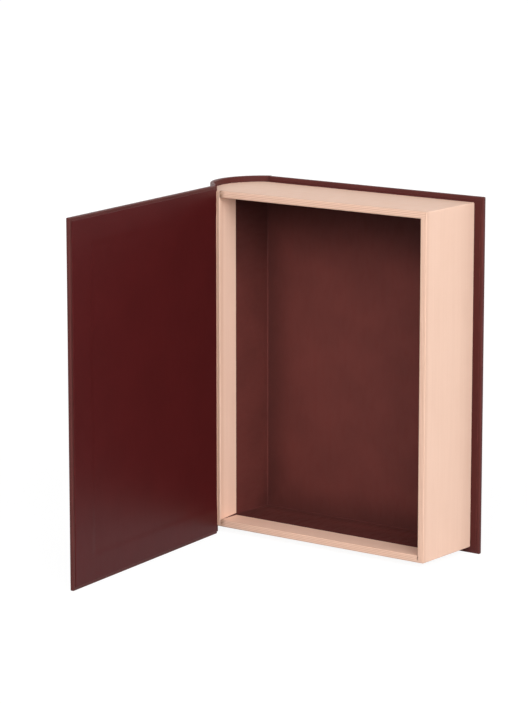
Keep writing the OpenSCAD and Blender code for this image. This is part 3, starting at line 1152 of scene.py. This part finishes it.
class BOOKBOX_OT_linings(bpy.types.Operator):
    """Line the tray's walls and floor"""
    bl_idname = "book_box.linings"
    bl_label = "Linings"
    bl_options = {"REGISTER", "UNDO"}

    def execute(self, context):
        sizes = context.scene.book_box_sizes
        paper = finish("lining paper")
        skin = lining_skin(sizes)
        linings = {
            "head_lining_paper": (end_lining(sizes, skin, True), (0, 0, -1), "head_lining"),
            "tail_lining_paper": (end_lining(sizes, skin, False), (0, 0, 1), "tail_lining"),
            "fore_edge_lining_paper": (side_lining(sizes, skin, True), (-1, 0, 0), "fore_edge_lining"),
            "spine_side_lining_paper": (side_lining(sizes, skin, False), (1, 0, 0), "spine_side_lining"),
            "floor_lining_paper": (floor_lining(sizes), (0, -1, 0), "floor_lining")}
        for name, (bm, direction, node) in linings.items():
            piece_of(bm, name, paper, direction, sizes.page_sheet, "box", [node])
        skin.free()
        return {"FINISHED"}


class BOOKBOX_OT_cover_papers(bpy.types.Operator):
    """Wrap the covers' card in cover paper"""
    bl_idname = "book_box.cover_papers"
    bl_label = "Cover papers"
    bl_options = {"REGISTER", "UNDO"}

    def execute(self, context):
        sizes = context.scene.book_box_sizes
        paper = finish("cover paper")
        covers = {
            "back_cover_wrap": (back_cover_place(), "box", "back_cover_paper"),
            "front_cover_wrap": (front_cover_place(), "front_cover", "front_cover_paper")}
        for name, (matrix, body, node) in covers.items():
            bm = cover_paper(sizes)
            move_to(bm, matrix)
            outwards = matrix.to_3x3() @ Vector((0, 1, 0))
            piece_of(bm, name, paper, outwards, sizes.cover_sheet, body, [node])
        return {"FINISHED"}


class BOOKBOX_OT_endpapers(bpy.types.Operator):
    """Paste the endpapers inside the covers"""
    bl_idname = "book_box.endpapers"
    bl_label = "Endpapers"
    bl_options = {"REGISTER", "UNDO"}

    def execute(self, context):
        sizes = context.scene.book_box_sizes
        covers = {
            "back_endpaper_sheet": (back_cover_place(), "box", "back_endpaper"),
            "front_endpaper_sheet": (front_cover_place(), "front_cover", "front_endpaper")}
        for name, (matrix, body, node) in covers.items():
            at_front = body == "front_cover"
            bm = endpaper(sizes, at_front)
            move_to(bm, matrix)
            inwards = matrix.to_3x3() @ Vector((0, -1, 0))
            paper = finish("end paper" if at_front else "back end paper")
            piece_of(bm, name, paper, inwards, sizes.cover_sheet, body, [node])
        return {"FINISHED"}


class BOOKBOX_OT_spine(bpy.types.Operator):
    """Wrap the round spine; its largest face closes the end by the front joint"""
    bl_idname = "book_box.spine"
    bl_label = "Spine"
    bl_options = {"REGISTER", "UNDO"}

    def execute(self, context):
        sizes = context.scene.book_box_sizes
        piece_of(
            spine_paper(sizes), "spine_wrap", finish("cover paper"), (0, -1, 0),
            sizes.cover_sheet, "box", ["spine_cover_paper"])
        return {"FINISHED"}


class BOOKBOX_OT_joints(bpy.types.Operator):
    """Make the joints between the spine and the covers"""
    bl_idname = "book_box.joints"
    bl_label = "Joints"
    bl_options = {"REGISTER", "UNDO"}

    def execute(self, context):
        sizes = context.scene.book_box_sizes
        piece_of(
            back_joint(sizes), "back_joint", finish("joint paper"), None,
            body="box", nodes=["back_hinge_cloth"])
        joint = piece_of(
            front_joint(sizes), "front_joint", finish("joint paper"), None,
            nodes=["front_hinge_cloth"])
        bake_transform(joint)
        return {"FINISHED"}


class BOOKBOX_OT_card(bpy.types.Operator):
    """Give the card and the hidden lining their finishes"""
    bl_idname = "book_box.card"
    bl_label = "Card"
    bl_options = {"REGISTER", "UNDO"}

    def execute(self, context):
        for name, node in frame["nodes"].items():
            node.data.materials.clear()
            node.data.materials.append(
                finish("spine lining" if name == "spine_lining" else "grey card"))
        return {"FINISHED"}


class BOOKBOX_OT_stage(bpy.types.Operator):
    """Make the floor, the lights and the camera"""
    bl_idname = "book_box.stage"
    bl_label = "Stage"

    def execute(self, context):
        stage = context.scene.book_box_stage
        make_floor()
        make_world(stage)
        for side, (turn, rise) in SOFTBOXES.items():
            make_softbox(f"{side} softbox", turn, rise, getattr(stage, f"{side}_light"))
        make_camera(stage)
        return {"FINISHED"}


def white_for_camera(tree):
    """1 for the rays by which the camera sees a thing, also in gloss and glass."""
    rays = add_node(tree, "ShaderNodeLightPath").outputs
    kinds = ("Is Camera Ray", "Is Glossy Ray", "Is Transmission Ray")
    return maths(tree, "MAXIMUM", *(rays[kind] for kind in kinds))


def make_floor():
    """A pale floor that shows white, with the object's shadow on it."""
    bm = bmesh.new()
    bmesh.ops.create_grid(bm, x_segments=1, y_segments=1, size=FLOOR_REACH)
    floor = object_of(bm, "floor")
    tree, shader = new_material("pale floor")
    tree.nodes.remove(shader)
    distance = add_node(
        tree, "ShaderNodeVectorMath", {0: object_place(tree)}, operation="LENGTH").outputs["Value"]
    level = spread(tree, distance, *GLOW_RISE, FLOOR_GLOW, 1)
    plain = add_node(tree, "ShaderNodeBsdfDiffuse", {"Color": rgba([FLOOR_TONE] * 3)})
    dim = add_node(tree, "ShaderNodeBsdfDiffuse", {"Color": rgba([FLOOR_SHADE] * 3)})
    glow = add_node(tree, "ShaderNodeEmission", {"Color": rgba([1] * 3), "Strength": level})
    shown = add_node(tree, "ShaderNodeAddShader", {0: dim.outputs[0], 1: glow.outputs[0]})
    both = add_node(
        tree, "ShaderNodeMixShader",
        {0: white_for_camera(tree), 1: plain.outputs[0], 2: shown.outputs[0]})
    tree.links.new(both.outputs[0], tree.nodes["Material Output"].inputs["Surface"])
    floor.data.materials.append(bpy.data.materials["pale floor"])


def make_world(stage):
    """Soft light from all round, which the camera sees as white."""
    world = bpy.data.worlds.new("studio")
    bpy.context.scene.world = world
    world.use_nodes = True
    tree = world.node_tree
    light = tree.nodes["Background"]
    strength = add_node(
        tree, "ShaderNodeMix", {0: white_for_camera(tree), 2: stage.world_level, 3: 1.0}).outputs[0]
    tree.links.new(strength, light.inputs["Strength"])
    light.inputs["Color"].default_value = (1, 1, 1, 1)


def aim(thing, spot, target):
    """Puts a lamp or camera in its place and turns it towards a target."""
    thing.location = spot
    thing.rotation_euler = (target - spot).to_track_quat("-Z", "Y").to_euler()


def direction_to(turn, rise):
    """The direction from the box to a lamp or camera: turned from -Y to +X, and raised."""
    level = math.cos(rise)
    return Vector((math.sin(turn) * level, -math.cos(turn) * level, math.sin(rise)))


def make_softbox(name, turn, rise, power):
    """A wide soft lamp round the box, its place given in degrees."""
    lamp = bpy.data.lights.new(name, "AREA")
    lamp.shape = "DISK"
    lamp.size = SOFTBOX_W
    lamp.energy = power
    middle = Vector((0, 0, CASE_H / 2))
    spot = middle + LAMP_DISTANCE * direction_to(math.radians(turn), math.radians(rise))
    aim(new_object(name, lamp), spot, middle)


def make_camera(stage):
    """The camera, at the photograph's angle."""
    camera = bpy.data.cameras.new("camera")
    camera.lens = stage.lens
    camera.clip_end = 2 * FLOOR_REACH
    thing = new_object("camera", camera)
    spot = Vector(stage.camera_place)
    aim(thing, spot, spot - direction_to(stage.camera_azimuth, stage.camera_elevation))
    bpy.context.scene.camera = thing
    bpy.context.scene.view_settings.view_transform = "Standard"


class BOOKBOX_PT_panel(bpy.types.Panel):
    """Sizes, colours and steps of the book box"""
    bl_idname = "BOOKBOX_PT_panel"
    bl_label = "Book box"
    bl_space_type = "VIEW_3D"
    bl_region_type = "UI"
    bl_category = "Book box"

    def draw(self, context):
        for step in STEPS:
            self.layout.operator(step.bl_idname)
        for group in GROUPS:
            values = getattr(context.scene, group.place)
            box = self.layout.box()
            for name in group.__annotations__:
                box.prop(values, name)


STEPS = (
    BOOKBOX_OT_card, BOOKBOX_OT_page_papers, BOOKBOX_OT_linings, BOOKBOX_OT_cover_papers,
    BOOKBOX_OT_endpapers, BOOKBOX_OT_spine, BOOKBOX_OT_joints, BOOKBOX_OT_stage)


def register():
    for cls in (*GROUPS, *STEPS, BOOKBOX_PT_panel):
        bpy.utils.register_class(cls)
    for group in GROUPS:
        setattr(bpy.types.Scene, group.place, PointerProperty(type=group))


def unregister():
    for group in GROUPS:
        delattr(bpy.types.Scene, group.place)
    for cls in (BOOKBOX_PT_panel, *reversed(STEPS), *reversed(GROUPS)):
        bpy.utils.unregister_class(cls)


def main():
    register()
    for step in STEPS:
        name = step.bl_idname.split(".")[1]
        getattr(bpy.ops.book_box, name)()


if __name__ == "__main__":
    main()
